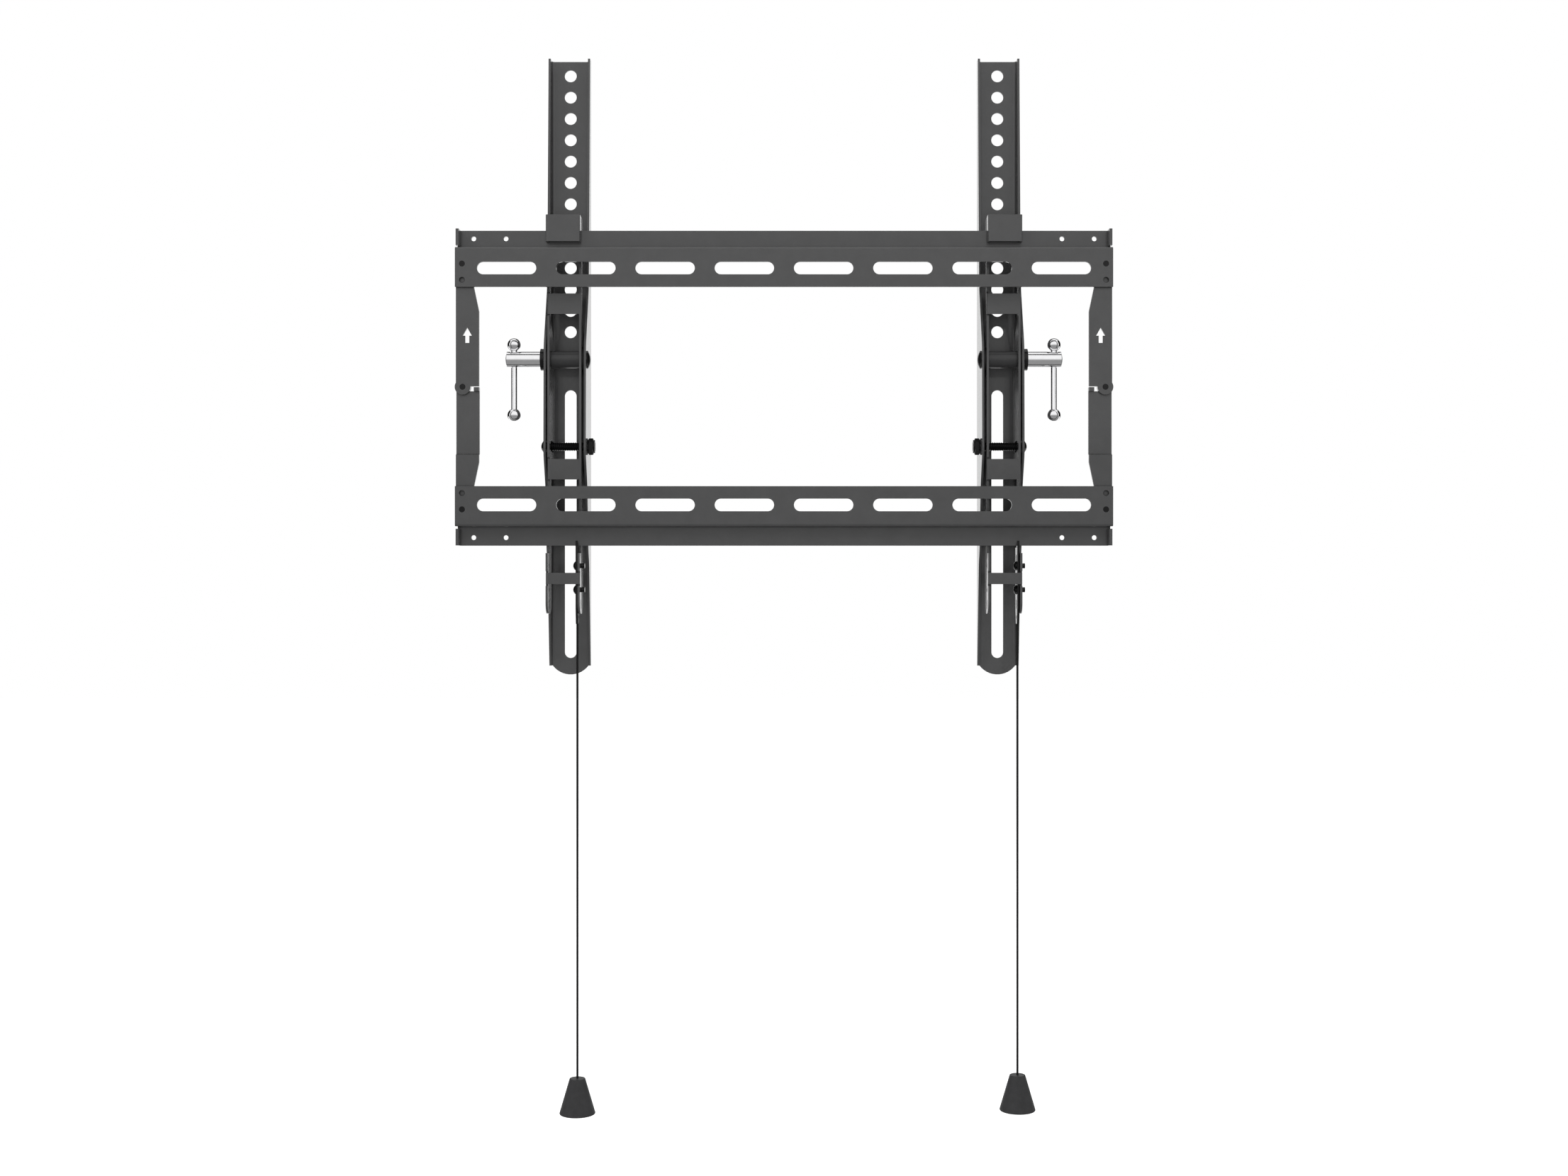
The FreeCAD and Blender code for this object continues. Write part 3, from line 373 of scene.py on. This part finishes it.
def make_stop_bolt(side):
    """Domed bolt with a real thread, in place of the plain one."""
    node = f"{side}_stop_bolt"
    low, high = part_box(node)
    head_radius = (high.z - low.z) / 2
    length = high.x - low.x
    dome = (head_radius ** 2 + STOP_HEAD_HEIGHT ** 2) / (2 * STOP_HEAD_HEIGHT)
    stations = []
    for step in range(1, STOP_HEAD_STEPS + 1):
        sink = STOP_HEAD_HEIGHT * (step / STOP_HEAD_STEPS) ** 2
        stations.append((sink, round_section(math.sqrt(dome ** 2 - (dome - sink) ** 2))))
    start = STOP_HEAD_HEIGHT + STOP_PLAIN_LENGTH
    end = length - STOP_TIP_CHAMFER
    shank = round_section(STOP_THREAD_RADIUS)
    stations += [(STOP_HEAD_HEIGHT, shank), (start, shank)]
    steps = int((end - start) / STOP_THREAD_PITCH * STOP_STEPS_PER_TURN)
    for step in range(1, steps + 1):
        along = start + (end - start) * step / steps
        stations.append((along, thread_section(along)))
    stations.append((length, round_section(STOP_THREAD_RADIUS - STOP_THREAD_DEPTH - STOP_TIP_CHAMFER / 2)))
    crown = low.x if side == "left" else high.x
    bolt = show(f"{side}_threaded_stop_bolt", turned_mesh(node, stations, STOP_SEGMENTS), "black_hardware",
                (crown, (low.y + high.y) / 2, (low.z + high.z) / 2), 0.0 if side == "left" else math.pi)
    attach(bolt, f"{side}_arm")
    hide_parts(node)


def nut_section(along):
    """Section of a hexagon nut, chamfered towards both of its faces."""
    cone = NUT_FACE_SHARE * NUT_FLATS + math.tan(NUT_CHAMFER_LEAN) * min(along, NUT_HEIGHT - along)

    def radius_at(angle):
        from_flat = (angle + math.pi / 6) % (math.pi / 3) - math.pi / 6
        return min(cone, NUT_FLATS / 2 / math.cos(from_flat))
    return radius_at


def make_stop_nut(side):
    """Chamfered lock nut with a rounded collar, in place of the plain one."""
    node = f"{side}_stop_nut"
    low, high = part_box(node)
    height = high.x - low.x
    chamfer = [NUT_CHAMFER * step / NUT_CHAMFER_STEPS for step in range(NUT_CHAMFER_STEPS + 1)]
    stations = [(along, nut_section(along)) for along in chamfer]
    stations += [(NUT_HEIGHT - along, nut_section(NUT_HEIGHT - along)) for along in reversed(chamfer)]
    stations.append((NUT_HEIGHT, round_section(NUT_COLLAR_RADIUS)))
    for step in range(NUT_COLLAR_STEPS + 1):
        lean = math.pi / 2 * step / NUT_COLLAR_STEPS
        stations.append((height - NUT_COLLAR_ROUND * (1 - math.sin(lean)),
                         round_section(NUT_COLLAR_RADIUS - NUT_COLLAR_ROUND * (1 - math.cos(lean)))))
    bore = round_section(NUT_BORE_RADIUS)
    stations += [(height, bore), (0.0, bore)]
    seat = low.x if side == "left" else high.x
    nut = show(f"{side}_lock_nut", turned_mesh(node, stations, NUT_SEGMENTS, ring=True), "black_hardware",
               (seat, (low.y + high.y) / 2, (low.z + high.z) / 2), 0.0 if side == "left" else math.pi)
    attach(nut, f"{side}_arm")
    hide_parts(node)


def tube(name, points, radius):
    """Curve through points with a round section."""
    curve = bpy.data.curves.new(name, "CURVE")
    curve.dimensions = "3D"
    spline = curve.splines.new("NURBS")
    spline.points.add(len(points) - 1)
    for place, point in zip(spline.points, points):
        place.co = (*point, 1.0)
    spline.order_u = 3
    spline.use_endpoint_u = True
    curve.bevel_depth = radius
    curve.bevel_resolution = CORD_SECTION_DETAIL
    return curve


def make_cord(side):
    """Cord hanging straight from the latch into the top of its pull."""
    low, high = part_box(f"{side}_cord")
    middle = (low + high) / 2
    place = (middle.x, middle.y, high.z)
    length = high.z - low.z
    route = [(0.0, 0.0, -along) for along in (0.0, CORD_HOLD, length - CORD_HOLD, length)]
    curve = tube(f"{side}_pull_cord", route, CORD_DIAMETER / 2)
    cord = show(f"{side}_pull_cord", curve, "cord", place)
    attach(cord, f"{side}_latch")
    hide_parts(f"{side}_cord")


def make_camera():
    """Camera where the photograph was taken from."""
    data = bpy.data.cameras.new("camera")
    data.sensor_width = SENSOR_WIDTH
    data.lens = FOCAL_PIXELS / PHOTO_WIDTH * SENSOR_WIDTH
    camera = bpy.data.objects.new("camera", data)
    camera.location = CAMERA_PLACE
    camera.rotation_euler = (math.pi / 2, 0.0, 0.0)
    bpy.context.scene.collection.objects.link(camera)
    bpy.context.scene.camera = camera


def seen_directly(tree):
    """One for rays from the camera and those that mirrors and glass pass on, zero for the others."""
    path = add_node(tree, "ShaderNodeLightPath")
    mirrored = maths(tree, "MAXIMUM", path.outputs["Is Glossy Ray"], path.outputs["Is Transmission Ray"])
    return maths(tree, "MAXIMUM", path.outputs["Is Camera Ray"], mirrored)


def level_corners(left, right, near, far, height):
    """Corners of a level panel."""
    return [(left, near, height), (right, near, height), (right, far, height), (left, far, height)]


def upright_corners(left, right, place, bottom, top):
    """Corners of an upright panel across the view."""
    return [(left, place, bottom), (right, place, bottom), (right, place, top), (left, place, top)]


def side_corners(across, near, far, bottom, top):
    """Corners of an upright panel along the view."""
    return [(across, near, bottom), (across, far, bottom), (across, far, top), (across, near, top)]


def flat_panel(name, corners):
    """Four-cornered stage panel."""
    mesh = bpy.data.meshes.new(name)
    mesh.from_pydata(corners, [], [(0, 1, 2, 3)])
    panel = bpy.data.objects.new(name, mesh)
    bpy.context.scene.collection.objects.link(panel)
    return panel


def make_floor():
    """Plain floor, well below the pulls, that is white where it is seen."""
    half = FLOOR_SIZE / 2
    floor = flat_panel("floor", level_corners(-half, half, -half, half, FLOOR_LEVEL))
    material, tree, shader = new_material("floor")
    glow = maths(tree, "MULTIPLY", seen_directly(tree), FLOOR_WHITE)
    tree.links.new(glow, shader.inputs["Emission Strength"])
    set_values(shader, {"Base Color": (FLOOR_GREY, FLOOR_GREY, FLOOR_GREY, 1.0),
                        "Roughness": FLOOR_ROUGHNESS, "Emission Color": WHITE})
    floor.data.materials.append(material)


def make_card(name, corners, grey):
    """Grey card that only reflections see."""
    card = flat_panel(name, corners)
    material = bpy.data.materials.new(name)
    material.use_nodes = True
    tree = material.node_tree
    tree.nodes.clear()
    light = add_node(tree, "ShaderNodeEmission", Color=(grey, grey, grey, 1.0), Strength=1.0)
    output = add_node(tree, "ShaderNodeOutputMaterial")
    tree.links.new(light.outputs["Emission"], output.inputs["Surface"])
    card.data.materials.append(material)
    card.visible_camera = False
    card.visible_diffuse = False
    card.visible_shadow = False
    card.visible_transmission = False


def make_cards():
    """Cards in front, on the floor before the object, and round the edge of the view behind it."""
    half = CARD_WIDTH / 2
    front = FRONT_CARD_PLACE
    low = FLOOR_LEVEL + CARD_LIFT
    back, inner, outer = BACK_CARD_PLACE, BACK_CARD_INNER, BACK_CARD_OUTER
    make_card("front_card", upright_corners(-half, half, front, low, FRONT_CARD_TOP), FRONT_CARD_GREY)
    make_card("low_card", level_corners(-half, half, front, LOW_CARD_END, low), LOW_CARD_GREY)
    for name, sign in SIDES.items():
        make_card(f"{name}_card", upright_corners(sign * inner, sign * outer, back, low, outer),
                  BACK_CARD_GREY)
        make_card(f"{name}_side_card", side_corners(sign * outer, back, SIDE_CARD_END, low, outer),
                  BACK_CARD_GREY)
    make_card("high_card", upright_corners(-outer, outer, back, inner, outer), BACK_CARD_GREY)


def make_world():
    """White studio: white where it is seen, and an even soft light on the object."""
    world = bpy.data.worlds.new("studio")
    bpy.context.scene.world = world
    world.use_nodes = True
    tree = world.node_tree
    tree.nodes.clear()
    output = add_node(tree, "ShaderNodeOutputWorld")
    seen = add_node(tree, "ShaderNodeBackground", Color=WHITE, Strength=1.0)
    lit = add_node(tree, "ShaderNodeBackground", Color=WHITE, Strength=ROOM_LIGHT)
    mix = add_node(tree, "ShaderNodeMixShader")
    tree.links.new(seen_directly(tree), mix.inputs["Fac"])
    tree.links.new(lit.outputs["Background"], mix.inputs[1])
    tree.links.new(seen.outputs["Background"], mix.inputs[2])
    tree.links.new(mix.outputs["Shader"], output.inputs["Surface"])


def make_lamp(name, place, target, size, power):
    """Soft square lamp aimed at a point, which doesn't show itself in reflections."""
    data = bpy.data.lights.new(name, "AREA")
    data.size = size
    data.energy = power
    lamp = bpy.data.objects.new(name, data)
    lamp.location = place
    lamp.rotation_euler = (Vector(target) - Vector(place)).to_track_quat("-Z", "Y").to_euler()
    lamp.visible_camera = False
    lamp.visible_glossy = False
    bpy.context.scene.collection.objects.link(lamp)


bpy.context.scene.view_settings.view_transform = "Standard"
make_camera()
make_world()
make_floor()
make_cards()
for lamp_values in LAMPS:
    make_lamp(*lamp_values)
dress_nodes()
for side in SIDES:
    make_stop_bolt(side)
    make_stop_nut(side)
    make_cord(side)
